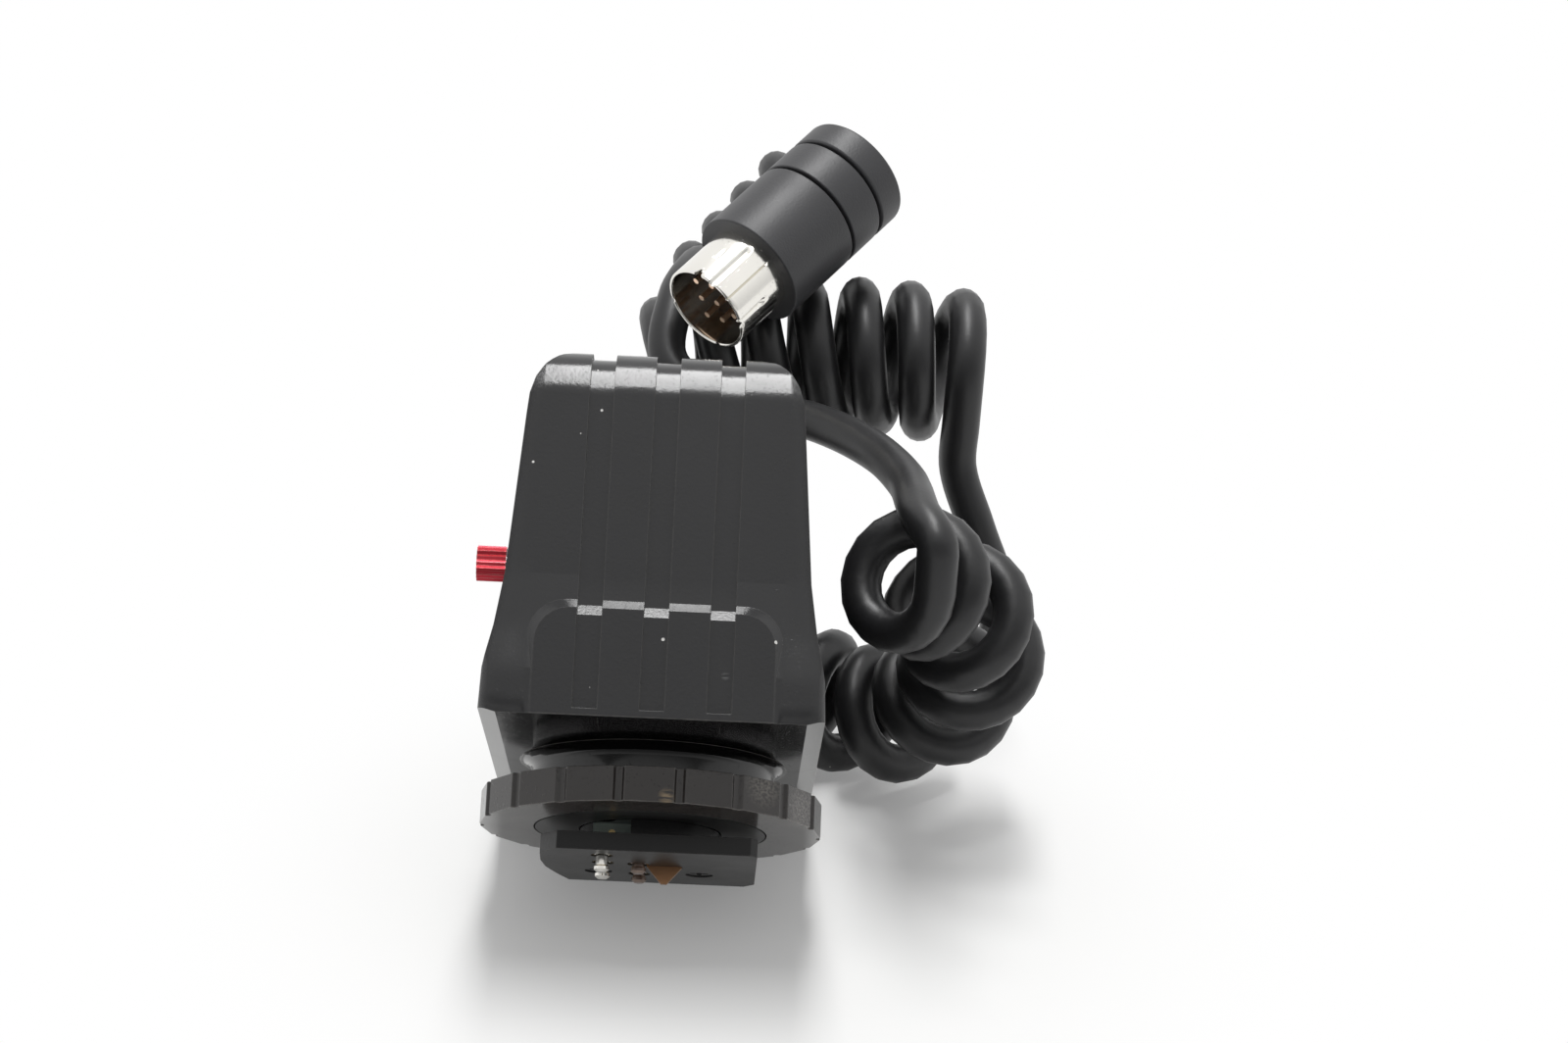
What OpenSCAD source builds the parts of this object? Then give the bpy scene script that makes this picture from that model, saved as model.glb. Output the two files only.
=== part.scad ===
// Dedicated hot shoe flash adapter with a curly cord and an eight pin round plug.
// The housing leans back until the lock wheel's rim and its own rear edge rest on the surface.
// Inside lean() the shoe's axis is Z, its bottom face is at 0 and the front of the housing is -Y.

/* [Shoe foot] */
// Width of the foot across the camera's rails
foot_w = 18.6; // [18:0.1:19]
// Reach of the foot in front of the shoe axis
foot_front = 8.2; // [7:0.1:9]
// Reach of the foot behind the shoe axis
foot_rear = 8.2; // [7:0.1:9]
// Thickness of the foot
foot_t = 1.55; // [1.3:0.05:1.7]
// Cut across the front left corner of the foot
foot_corner = 1.6; // [0.8:0.1:2.4]
// Diameter of the neck between the rails
neck_d = 12.2; // [11:0.1:12.4]
// Head diameter of the foot screws
foot_screw_d = 2.4; // [2:0.1:3]

/* [Lock wheel] */
// Diameter of the lock wheel over its corners
wheel_d = 29.6; // [28:0.2:31]
// Thickness of the lock wheel
wheel_t = 3.0; // [2.4:0.1:3.4]
// Free height between the foot and the wheel
rail_gap = 1.57; // [1.4:0.01:1.9]
// Number of flats round the rim
wheel_flats = 18; // [14:2:22]
// Width of the groove between two flats
groove_w = 0.5; // [0.3:0.1:0.8]
// Depth of the groove between two flats
groove_depth = 0.35; // [0.2:0.05:0.5]
// Outer diameter of the pressure ring under the wheel
ring_d = 20; // [18:0.5:22]
// Thickness of the pressure ring
ring_t = 0.5; // [0.4:0.05:0.8]
// Radial clearance of the wheel and of the ring on the neck
run_gap = 0.1; // [0.08:0.01:0.2]

/* [Housing] */
// Diameter of the collar above the wheel
collar_d = 21.2; // [20:0.2:22.4]
// Height of the collar
collar_h = 2.65; // [2.2:0.05:3.2]
// Radius of the fillet between the collar and the housing
fillet = 1.1; // [0.6:0.1:1.4]
// Gap between the wheel and the collar
collar_gap = 0.2; // [0.1:0.05:0.4]
// Height of the housing
case_h = 32.5; // [30:0.1:34]
// Width of the housing at its flared base
base_w = 28.5; // [27.5:0.1:29.5]
// Reach of the flare beyond the housing on each side
flare_out = 1.65; // [1.2:0.05:2]
// Amount by which each side wall leans in towards the top
draft = 0.9; // [0.4:0.1:1.2]
// Height of the straight part of the flared base
flare_low = 3.8; // [3:0.1:5]
// Height at which the flare ends
flare_high = 12.0; // [11:0.1:14]
// Reach of the housing in front of the shoe axis
case_front = 20.35; // [19.5:0.05:21]
// Reach of the housing behind the shoe axis
case_rear = 22.4; // [21.5:0.1:23.5]
// Width of the sloping strips along the base's sides
strip_w = 1.5; // [1:0.1:2]
// Height of those strips
strip_h = 0.4; // [0.2:0.05:0.6]
// Wall thickness of the housing
wall = 1.6; // [1.2:0.1:2]
// Width of the round top corners seen from the front
corner_r = 4.6; // [4:0.1:5]
// Height of the round top corners
corner_h = 6.6; // [6:0.1:7]
// Radius of the front top edge
brow_r = 4.8; // [4:0.1:5.4]
// Radius of the rear top edge
back_r = 3.0; // [2:0.1:4]
// Radius of the upright edges
edge_r = 1.2; // [0.8:0.1:1.6]
// Step from the front face to the panel and the base
panel_step = 0.95; // [0.7:0.05:1.2]
// Width of the raised panel at its foot
panel_w = 21.8; // [20:0.1:23]
// Height of the raised panel
panel_h = 10.0; // [9:0.1:11]
// Corner radius of the raised panel
panel_r = 3.4; // [2.5:0.1:4]
// Width of the three sunk bands
band_w = 2.05; // [1.6:0.05:2.4]
// Distance between two sunk bands
band_pitch = 5.5; // [5:0.1:6]
// Depth of the sunk bands
band_depth = 0.5; // [0.3:0.05:0.7]
// Head diameter of the case screws
screw_d = 3.6; // [3:0.1:4.2]
// Shaft diameter of the case screws
shaft_d = 1.8; // [1.5:0.1:2.1]
// Distance of the case screws from the side walls
screw_side = 4.2; // [4:0.1:5]
// Distance of the upper case screws from the top
screw_drop = 6.0; // [5.8:0.1:7]
// Wall of a screw boss
boss_wall = 1.0; // [0.8:0.1:1.3]
// Width of the label plate
label_w = 10.0; // [8:0.1:11]
// Depth of the label plate
label_l = 4.6; // [4:0.1:5]
// Thickness of the label plate
label_t = 0.3; // [0.2:0.05:0.5]

/* [Selector] */
// Diameter of the selector knob
knob_d = 3.0; // [2.6:0.1:3.4]
// Length of the selector knob outside the wall
knob_len = 2.6; // [2.4:0.1:3.4]
// Number of splines round the knob
knob_splines = 18; // [14:1:22]
// Depth of the splines
spline_depth = 0.18; // [0.1:0.02:0.25]
// Distance of the knob's axis behind the front of the housing
knob_back = 3.6; // [3.4:0.1:6]
// Height of the knob's axis above the housing's base
knob_up = 13.3; // [12:0.1:16]
// Diameter of the selector shaft
stem_d = 1.6; // [1.3:0.1:1.9]
// Side of the square switch body
switch_s = 4.4; // [4:0.1:5]
// Depth of the switch body
switch_t = 3.4; // [3:0.1:4]

/* [Contacts] */
// Shaft diameter of the contact pins
pin_d = 1.05; // [0.9:0.05:1.2]
// Head diameter of the contact pins
pin_head_d = 1.3; // [1.2:0.05:1.4]
// Length of the two long pins below the foot
long_pin = 1.4; // [1.2:0.05:1.5]
// Length of the two short pins below the foot
short_pin = 0.8; // [0.7:0.05:1]
// Width of the central contact's blade
blade_w = 3.0; // [2.6:0.1:3.4]
// Reach of the blade below the foot
blade_h = 1.5; // [1.3:0.05:1.6]
// Thickness of the blade
blade_t = 0.5; // [0.4:0.05:0.7]
// Radial clearance of the moving contacts
pin_gap = 0.06; // [0.04:0.01:0.1]
// Wall of the barrels that guide the pins
barrel_wall = 0.25; // [0.2:0.05:0.35]

/* [Plug] */
// Outer diameter of the plug's metal shell
shell_d = 8.95; // [8.8:0.05:9.1]
// Length of the metal shell in front of the body
shell_l = 6.4; // [6:0.1:7]
// Wall of the metal shell
shell_wall = 0.35; // [0.3:0.05:0.5]
// Diameter of the plug's body
plug_d = 11.7; // [11.2:0.1:12.4]
// Length of the front part of the body
plug_l = 8.7; // [8:0.1:10]
// Length of the middle part of the body
mid_l = 3.9; // [3.5:0.1:4.5]
// Length of the rear collar
cap_l = 3.1; // [2.8:0.1:3.6]
// Width of the grooves between the parts of the body
step_w = 0.35; // [0.2:0.05:0.5]
// Depth of those grooves
step_depth = 0.45; // [0.3:0.05:0.6]
// Diameter of the contact pins of the plug
plug_pin_d = 0.6; // [0.5:0.05:0.7]

/* [Cord] */
// Diameter of the cord
cord_d = 3.7; // [3.5:0.1:3.8]
// Diameter of the gland on the housing
gland_d = 6.4; // [6:0.1:7]
// Length of the gland outside the housing
gland_l = 6.0; // [5:0.1:6]

/* [Hidden] */
$fn = 64;
eps = 0.01;
seam = 0.05;

wheel_low = foot_t + rail_gap;
wheel_high = wheel_low + wheel_t;
collar_low = wheel_high + collar_gap;
base = collar_low + collar_h;
top = base + case_h;
wheel_flat_r = wheel_d / 2 * cos(180 / wheel_flats);
lean_angle = atan((base - wheel_low) / (case_rear - wheel_flat_r));
lift = case_rear * sin(lean_angle) - base * cos(lean_angle);
front_y = -case_front * cos(lean_angle) + base * sin(lean_angle);
back_y = (case_rear - back_r) * cos(lean_angle) + (top - back_r) * sin(lean_angle) + back_r;
face = case_front - panel_step;
neck_r = neck_d / 2;
waist_w = base_w - 2 * flare_out;

module lean() {
    translate([0, -(front_y + back_y) / 2, lift]) rotate([-lean_angle, 0, 0]) children();
}

// Housing ----------------------------------------------------------------

arc_steps = 6;
// how far the plan's outline stays clear of the other two, and the panel in front of the base
plan_room = 0.03;
panel_proud = 0.1;
// points of a rounded corner about c, from angle a0 to a1
function arc(c, r, a0, a1) = [for (k = [0:arc_steps]) let (a = a0 + (a1 - a0) * k / arc_steps)
    c + r * [cos(a), sin(a)]];

// outline of the housing seen from the front, for the right half
function half_front(i) = let (w = waist_w / 2 - i, b = base_w / 2 - i, r = corner_r - i, h = corner_h - i)
    concat([[b - strip_w, base + i], [b, base + i + strip_h], [b - 0.15, base + flare_low],
        [w + 0.75, base + 0.62 * flare_high], [w + 0.1, base + flare_high]],
        [for (p = arc([0, 0], 1, 0, 90)) [w - draft - r + r * p[0], top - i - h + h * p[1]]]);
function flipped(p) = [for (k = [len(p) - 1:-1:0]) [-p[k][0], p[k][1]]];

module front_outline(i) {
    polygon(concat(half_front(i), flipped(half_front(i))));
}

module side_outline(i) {
    f = face - i;
    b = case_front - panel_proud - i;
    polygon(concat([[-b, base + i], [-b, base + flare_low]],
        [[-f - 0.3, base + 0.62 * flare_high], [-f, base + flare_high]],
        arc([-f + brow_r - i, top - brow_r], brow_r - i, 180, 90),
        arc([case_rear - back_r, top - back_r], back_r - i, 90, 0),
        [[case_rear - i, base + i]]));
}

module plan_outline(i) {
    r = edge_r;
    o = i - plan_room;
    w = base_w / 2 - o;
    polygon(concat(arc([w - r, case_rear - o - r], r, 0, 90), arc([-w + r, case_rear - o - r], r, 90, 180),
        arc([-w + r, -case_front + o + r], r, 180, 270), arc([w - r, -case_front + o + r], r, 270, 360)));
}

// outline of the panel, drawn in by e
module panel_outline(e) {
    w = panel_w / 2 - e;
    t = base + panel_h - e;
    r = panel_r - e / 2;
    polygon(concat([[-w, base + 0.05], [w, base + 0.05]], arc([w - r, t - r], r, 0, 90),
        arc([-w + r, t - r], r, 90, 180)));
}

// the raised panel with its sloping shoulder, i deeper where a band crosses it
module panel(i) {
    hull() {
        translate([0, -face + 0.3, 0]) rotate([90, 0, 0]) linear_extrude(0.3 - i / 2)
            panel_outline(i);
        translate([0, -face - panel_step + i + eps, 0]) rotate([90, 0, 0]) linear_extrude(eps)
            panel_outline(panel_step + i);
    }
}

module case_solid(i) {
    intersection() {
        translate([0, case_rear + 1, 0]) rotate([90, 0, 0])
            linear_extrude(case_front + case_rear + 2) front_outline(i);
        translate([-base_w, 0, 0]) rotate([90, 0, 90]) linear_extrude(2 * base_w) side_outline(i);
        translate([0, 0, base - 1]) linear_extrude(case_h + 2) plan_outline(i);
    }
}

module band_boxes() {
    for (k = [-1:1]) translate([k * band_pitch - band_w / 2, -case_front - 1, base - 1])
        cube([band_w, case_front + 1 - knob_back, case_h + 2]);
}

module case_outside() {
    difference() {
        union() {
            case_solid(0);
            panel(0);
        }
        intersection() {
            band_boxes();
            difference() {
                translate([-base_w, -case_front - 2, base - 2])
                    cube([2 * base_w, case_front + 2, case_h + 4]);
                union() {
                    case_solid(band_depth);
                    panel(band_depth);
                }
                translate([-base_w, -case_front - 3, base - 3]) cube([2 * base_w, 2 * case_front, 3.6]);
            }
        }
    }
}

screw_x = waist_w / 2 - screw_side;
screw_low = base + 5.2;
screw_high = top - screw_drop;
boss_d = shaft_d + 2 * boss_wall;
head_sink = 1.2;

module at_screws() {
    for (x = [-1, 1], z = [screw_low, screw_high]) translate([x * screw_x, 0, z]) children();
}

// a rod along the depth of the housing, from y0 to y1
module rod(d, y0, y1) {
    translate([0, y1, 0]) rotate([90, 0, 0]) cylinder(h = y1 - y0, d = d);
}

module front_shell() {
    color([0.07, 0.07, 0.08]) lean() difference() {
        intersection() {
            union() {
                difference() {
                    case_outside();
                    case_solid(wall);
                }
                intersection() {
                    case_solid(wall / 2);
                    at_screws() rod(boss_d, -face, -seam);
                }
            }
            translate([-base_w, -case_front - 1, 0]) cube([2 * base_w, case_front + 1, top + 1]);
        }
        at_screws() rod(shaft_d, -face + 5, 1);
        knob_axis() translate([0, 0, -1]) cylinder(h = base_w, d = stem_d + 2 * run_gap);
        neck_hole();
        label_seat();
    }
}

module rear_shell() {
    color([0.07, 0.07, 0.08]) lean() difference() {
        intersection() {
            union() {
                difference() {
                    case_solid(0);
                    case_solid(wall);
                }
                intersection() {
                    case_solid(wall / 2);
                    at_screws() rod(boss_d + 1, case_rear - 6, case_rear);
                }
            }
            translate([-base_w, 0, 0]) cube([2 * base_w, case_rear + 1, top + 1]);
        }
        at_screws() {
            rod(shaft_d + 2 * run_gap, -1, case_rear + 1);
            rod(screw_d + 2 * run_gap, case_rear - head_sink, case_rear + 1);
        }
        neck_hole();
        gland_hole();
    }
}

module neck_hole() {
    translate([0, 0, base - 1]) cylinder(h = wall + 1, r = neck_r);
}

module case_screws() {
    color([0.55, 0.56, 0.58]) lean() at_screws() difference() {
        union() {
            rod(screw_d, case_rear - head_sink, case_rear - 0.3);
            rod(shaft_d, -face + 6, case_rear - head_sink);
        }
        translate([-0.3, case_rear - 0.9, -screw_d / 3]) cube([0.6, 1, screw_d * 2 / 3]);
        translate([-screw_d / 3, case_rear - 0.9, -0.3]) cube([screw_d * 2 / 3, 1, 0.6]);
    }
}

label_y = -case_front + 0.9;
module label_box(grow) {
    translate([-label_w / 2 + 0.6 - grow, label_y - grow, base - eps])
        cube([label_w + 2 * grow, label_l + 2 * grow, label_t]);
}
module label_seat() {
    label_box(0);
}
module label_plate() {
    color([0.05, 0.05, 0.06]) lean() label_box(0);
}

// Shoe ---------------------------------------------------------------------

module foot_outline() {
    w = foot_w / 2;
    polygon([[-w + foot_corner, -foot_front], [w - 0.6, -foot_front], [w, -foot_front + 0.6],
        [w, foot_rear - 1.4], [w - 0.9, foot_rear], [-w + 2.1, foot_rear], [-w + 1.1, foot_rear * 0.6],
        [-w + 0.3, foot_rear * 0.2], [-w, -foot_front * 0.2], [-w + 0.1, -foot_front + 2.6]]);
}

// each contact pin's place, length below the foot
long_x = -3.9;
short_x = -0.85;
pin_spots = [[long_x, -5.3, long_pin], [long_x, -1.7, long_pin], [short_x, -1.5, short_pin],
    [short_x, 3.5, short_pin]];
blade_x = 1.4;
blade_y = -0.7;
barrel_d = pin_head_d + 2 * pin_gap + 2 * barrel_wall;
barrel_low = 0.15;
pin_top = 0.4;
foot_screw_x = 6.9;
pocket_h = 4.0;

foot_screw_reach = 2.4;
module at_foot_screws() {
    for (x = [-1, 1]) translate([x * (neck_r - 1.7), 2.9, 0]) children();
}

module shoe_foot() {
    color([0.12, 0.12, 0.12]) lean() difference() {
        linear_extrude(foot_t) foot_outline();
        for (p = pin_spots) translate([p[0], p[1], -1]) cylinder(h = foot_t + 2, d = barrel_d);
        translate([blade_x - blade_w / 2 - pin_gap, blade_y - blade_t / 2 - pin_gap, -1])
            cube([blade_w + 2 * pin_gap, blade_t + 2 * pin_gap, foot_t + 2]);
        at_foot_screws() {
            translate([0, 0, -1]) cylinder(h = foot_t + 2, d = foot_screw_d / 2);
            translate([0, 0, -1]) cylinder(h = 1.7, d = foot_screw_d);
        }
    }
}

module foot_screws() {
    color([0.35, 0.35, 0.36]) lean() at_foot_screws() difference() {
        union() {
            translate([0, 0, 0.15]) cylinder(h = 0.55, d = foot_screw_d);
            translate([0, 0, 0.15]) cylinder(h = foot_t - 0.15 + foot_screw_reach, d = foot_screw_d / 2);
        }
        translate([-0.2, -foot_screw_d / 3, 0]) cube([0.4, foot_screw_d * 2 / 3, 0.4]);
        translate([-foot_screw_d / 3, -0.2, 0]) cube([foot_screw_d * 2 / 3, 0.4, 0.4]);
    }
}

module contact_barrels() {
    color([0.62, 0.5, 0.25]) lean() for (p = pin_spots) translate([p[0], p[1], barrel_low]) difference() {
        cylinder(h = foot_t - barrel_low, d = barrel_d);
        translate([0, 0, -1]) cylinder(h = foot_t + 2, d = pin_head_d + 2 * pin_gap);
    }
}

module contact_pin(k) {
    p = pin_spots[k];
    head = 0.45;
    color(k < 2 ? [0.85, 0.8, 0.72] : [0.45, 0.36, 0.32]) lean() translate([p[0], p[1], -p[2]]) {
        rotate_extrude() polygon([[0, 0], [pin_head_d / 2 - 0.25, 0], [pin_head_d / 2, 0.2],
            [pin_head_d / 2, head], [pin_d / 2, head + 0.12], [pin_d / 2, p[2] + pin_top - 0.3],
            [pin_head_d / 2, p[2] + pin_top - 0.3], [pin_head_d / 2, p[2] + pin_top], [0, p[2] + pin_top]]);
    }
}
module contact_pin_front() contact_pin(0);
module contact_pin_second() contact_pin(1);
module contact_pin_short() contact_pin(2);
module contact_pin_rear() contact_pin(3);

module centre_contact() {
    color([0.65, 0.42, 0.25]) lean() translate([blade_x, blade_y + blade_t / 2, 0]) rotate([90, 0, 0])
        linear_extrude(blade_t) polygon([[-0.25, -blade_h], [0.25, -blade_h], [blade_w / 2, -0.05],
            [blade_w / 2, pin_top], [-blade_w / 2, pin_top], [-blade_w / 2, -0.05]]);
}

window_x = -3.2;
window_w = 3.3;
window_low = foot_t + 0.15;
window_h = 1.4;
window_deep = 1.0;
window_y = -sqrt(neck_r * neck_r - pow(abs(window_x) + window_w / 2, 2)) - 0.2;

module shoe_neck() {
    color([0.06, 0.06, 0.07]) lean() difference() {
        union() {
            translate([0, 0, foot_t]) cylinder(h = base + wall - foot_t, r = neck_r);
            translate([0, 0, base + wall]) cylinder(h = 0.8, r = neck_r + 1.4);
        }
        for (p = pin_spots) translate([p[0], p[1], foot_t - 1]) cylinder(h = 1 + pocket_h, d = barrel_d);
        translate([blade_x - blade_w / 2 - pin_gap, blade_y - blade_t / 2 - pin_gap, foot_t - 1])
            cube([blade_w + 2 * pin_gap, blade_t + 2 * pin_gap, 1 + pocket_h]);
        at_foot_screws() translate([0, 0, foot_t - 1])
            cylinder(h = 1.2 + foot_screw_reach, d = foot_screw_d / 2);
        translate([window_x - window_w / 2, -neck_r - 1, window_low])
            cube([window_w, 1 + neck_r + window_y + window_deep, window_h]);
    }
}

module neck_insert() {
    color([0.32, 0.34, 0.34]) lean() difference() {
        translate([window_x - window_w / 2, window_y + 0.25, window_low])
            cube([window_w, window_deep - 0.25, window_h]);
        translate([window_x, 0, window_low + window_h * 0.4]) rod(0.6, -neck_r - 1, 0);
    }
}

module neck_rivet() {
    color([0.8, 0.68, 0.4]) lean() translate([window_x, 0, window_low + window_h * 0.4])
        rod(0.6, window_y + 0.1, window_y + window_deep);
}

// Wheel ----------------------------------------------------------------------

// one flat and one groove for each step round the rim, a flat straight behind
function rim_points() = [for (k = [0:wheel_flats - 1]) let (a = 360 / wheel_flats,
    g = groove_w / wheel_d * 360 / PI, m = 90 + a * (k + 0.5), r = wheel_d / 2)
    each [r * [cos(m - g), sin(m - g)], (r - groove_depth) * [cos(m - g * 0.55), sin(m - g * 0.55)],
        (r - groove_depth) * [cos(m + g * 0.55), sin(m + g * 0.55)], r * [cos(m + g), sin(m + g)]]];

ring_room = 0.08;

module lock_wheel() {
    color([0.1, 0.1, 0.1]) lean() difference() {
        translate([0, 0, wheel_low]) linear_extrude(wheel_t) polygon(rim_points());
        translate([0, 0, wheel_low - 1]) cylinder(h = wheel_t + 2, r = neck_r + run_gap);
        translate([0, 0, wheel_low - 1]) cylinder(h = 1 + ring_t + ring_room, r = ring_d / 2 + run_gap);
    }
}

module pressure_ring() {
    color([0.16, 0.16, 0.17]) lean() translate([0, 0, wheel_low]) difference() {
        cylinder(h = ring_t, r = ring_d / 2);
        translate([0, 0, -1]) cylinder(h = ring_t + 2, r = neck_r + run_gap);
    }
}

module collar() {
    r = collar_d / 2;
    color([0.08, 0.08, 0.09]) lean() rotate_extrude() polygon(concat([[neck_r, base], [neck_r, collar_low],
        [r - 0.2, collar_low], [r, collar_low + 0.2]], [for (k = [0:4]) let (a = 180 - 90 * k / 4)
        [r + fillet + fillet * cos(a), base - fillet + fillet * sin(a)]]));
}

// Inside -----------------------------------------------------------------------

board_y = 6;
board_t = 1.2;
board_room = 1;
post_h = 1.6;
board_w = waist_w - 2 * (wall + draft + board_room);
board_low = base + wall + post_h;
board_h = case_h - 2 * wall - post_h - 2;
// width, depth and height of the pieces on the board
big_chip = [8, 1.6, 5];
small_chip = [4.5, 1.6, 5.6];
resistor = [1.2, 0.9, 2];
terminal = [10, 1.4, 2.2];
post = [2, board_t + 2, post_h];
can_d = 4.2;
can_l = 5;

module circuit_board() {
    color([0.1, 0.35, 0.2]) lean() difference() {
        translate([-board_w / 2, board_y, board_low]) cube([board_w, board_t, board_h]);
        at_screws() rod(boss_d + 1.4, board_y - 1, board_y + board_t + 1);
    }
}

// a piece on the board's front, its left edge at x and its lower edge z above the board's
module on_board(size, x, z) {
    translate([x, board_y - size[1], board_low + z]) cube(size);
}

module board_parts() {
    color([0.15, 0.15, 0.16]) lean() {
        on_board(terminal, -terminal[0] / 2, 0.8);
        on_board(big_chip, -big_chip[0] / 2, 5.8);
        on_board(small_chip, -5.5, 14.8);
        for (k = [0:2]) on_board(resistor, 2 + k * 2, 14.8);
        for (x = [-1, 1]) translate([x * 4, board_y + board_t, board_low + 7.8]) rod(can_d, 0, can_l);
        // posts that carry the board on the housing's floor
        for (x = [-1, 1]) translate([x * (board_w / 2 - 1.2) - post[0] / 2, board_y - 1, base + wall])
            cube(post);
    }
}

// Selector on the left wall, its axis along X -------------------------------------

// reach of the wall at the knob's height
knob_wall = waist_w / 2 + 0.1 - (draft + 0.1) * (knob_up - flare_high) / (case_h - corner_h - flare_high);
switch_gap = 0.3;
knob_gap = 0.15;
knob_z = base + knob_up;
module knob_axis() {
    translate([0, -case_front + knob_back, knob_z]) rotate([0, -90, 0]) children();
}

module selector_knob() {
    color([0.68, 0.1, 0.12]) lean() knob_axis() translate([0, 0, knob_wall + knob_gap]) difference() {
        linear_extrude(knob_len - knob_gap) polygon([for (k = [0:2 * knob_splines - 1])
            let (a = 180 / knob_splines * k, r = knob_d / 2 - (k % 2) * spline_depth)
            r * [cos(a), sin(a)]]);
        translate([0, 0, -1]) cylinder(h = knob_len, d = stem_d);
    }
}

module selector_stem() {
    color([0.5, 0.5, 0.5]) lean() knob_axis() translate([0, 0, knob_wall - wall - 1.4])
        cylinder(h = wall + 1.4 + knob_len - 1, d = stem_d);
}

module selector_switch() {
    color([0.2, 0.2, 0.22]) lean() knob_axis() difference() {
        translate([-switch_s / 2, -switch_s / 2 + 1.15, knob_wall - wall - switch_gap - switch_t])
            cube([switch_s, switch_s, switch_t]);
        translate([0, 0, knob_wall - wall - 2.2]) cylinder(h = 3, d = stem_d + 2 * run_gap);
    }
}

// Cord ------------------------------------------------------------------------------

gland_x = -2;
gland_z = top - 7;
gland_bore = cord_d;
gland_flange = 1.4;

module gland_axis() {
    translate([gland_x, case_rear, gland_z]) rotate([-90, 0, 0]) children();
}
module gland_hole() {
    gland_axis() translate([0, 0, -wall - 1]) cylinder(h = wall + 2, d = gland_d - 1);
}

module cord_gland() {
    color([0.1, 0.1, 0.1]) lean() gland_axis() difference() {
        union() {
            translate([0, 0, -wall]) cylinder(h = wall, d = gland_d - 1);
            translate([0, 0, -wall - gland_flange]) cylinder(h = gland_flange, d = gland_d + 1);
            cylinder(h = 1.5, d = gland_d);
            translate([0, 0, 1.5]) cylinder(h = gland_l - 1.5, d1 = gland_d - 0.6, d2 = cord_d + 1.2);
        }
        translate([0, 0, -wall - gland_flange - 1]) cylinder(h = wall + gland_flange + 0.9, d = cord_d - 1);
    }
}

// The route, in millimetres in the part's own frame. A coil has one point for each turn.
coil_upper = [[-3, 41.8, 31], [1.7, 41.5, 32.3], [6.3, 41.2, 33.4], [10.9, 40.9, 34.2],
    [15.5, 40.6, 34.7], [20.1, 40.3, 34.8], [24.8, 40, 34.6], [29.4, 39.7, 34]];
coil_lower = [[2, 28.6, 6.8], [6.5, 26.2, 6.8], [10.9, 23.7, 6.8], [15.3, 20.8, 6.8], [19.8, 17.1, 7],
    [24.5, 13.8, 9.1], [27.7, 10.1, 13.5], [28.4, 6.1, 19], [26.5, 2.3, 24.3],
    [22.6, -1, 28.3], [18.8, -6, 30.3]];
coil_plug = [[3.6, 58.1, 35.3], [6.4, 59.3, 38.3], [9.2, 60.5, 41.3], [12, 61.7, 44.3],
    [14.7, 62.9, 47.3]];
start_route = [[-3, 30.8, 14.4], [-3.3, 34, 17.4], [-3.5, 35, 22.4]];
drop_route = [[27.8, 33.5, 26], [29.9, 32.2, 20.5], [32.6, 31.4, 13], [31.5, 34.2, 5.6],
    [24.3, 37.2, 2.4], [13.8, 38.2, 2.4], [5.6, 37, 4]];
rise_route = [[22.2, -3.4, 35.5], [21.3, 5.6, 35.1], [18.5, 15.6, 34.3], [13.3, 23.6, 33.8],
    [5.6, 28.8, 33.6], [-0.6, 31.4, 36.2], [-0.4, 36.6, 41.2], [1.3, 43.2, 42.4], [2, 48.2, 41]];
end_route = [[13.9, 51.4, 52.6]];
coil_r_upper = 6;
coil_r_lower = 4.8;
coil_r_plug = 4.4;
curl_rings = 8;
coil_sides = 6;
lead_sides = 8;
lead_steps = 3;

plug_front = [2.5, 28.6, 42.8];
plug_dir = unit([0.6, 0.66, 0.42]);
plug_total = shell_l + plug_l + step_w + mid_l + step_w + cap_l;
core_depth = 5.9;
core_at = plug_front + (plug_total - core_depth) * plug_dir;
rim_at = core_at + core_depth * plug_dir + 2.6 * unit([-0.3, 0.7, -0.65]);

function unit(v) = v / norm(v);
// Position and heading at turn t of a smooth curve through the points p
function slope(p, i) = let (m = len(p) - 1) (p[min(i + 1, m)] - p[max(i - 1, 0)]) / (i > 0 && i < m ? 2 : 1);
function spot(p, t) = let (i = min(floor(t), len(p) - 2), f = t - i)
    (2 * f ^ 3 - 3 * f ^ 2 + 1) * p[i] + (f ^ 3 - 2 * f ^ 2 + f) * slope(p, i)
    + (3 * f ^ 2 - 2 * f ^ 3) * p[i + 1] + (f ^ 3 - f ^ 2) * slope(p, i + 1);
function drift(p, t) = let (i = min(floor(t), len(p) - 2), f = t - i)
    (6 * f ^ 2 - 6 * f) * (p[i] - p[i + 1]) + (3 * f ^ 2 - 4 * f + 1) * slope(p, i)
    + (3 * f ^ 2 - 2 * f) * slope(p, i + 1);
// the two directions across a coil's axis
function across(p, t, up) = let (h = unit(drift(p, t)), u = unit(up - (up * h) * h)) [u, cross(h, u)];
function curl_point(p, t, up, r, a) = let (n = across(p, t, up)) spot(p, t) + r * (cos(a) * n[0] + sin(a) * n[1]);
function curl_heading(p, t, up, r, a, hand) = let (n = across(p, t, up))
    unit(drift(p, t) + hand * r * 2 * PI * (cos(a) * n[1] - sin(a) * n[0]));
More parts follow.
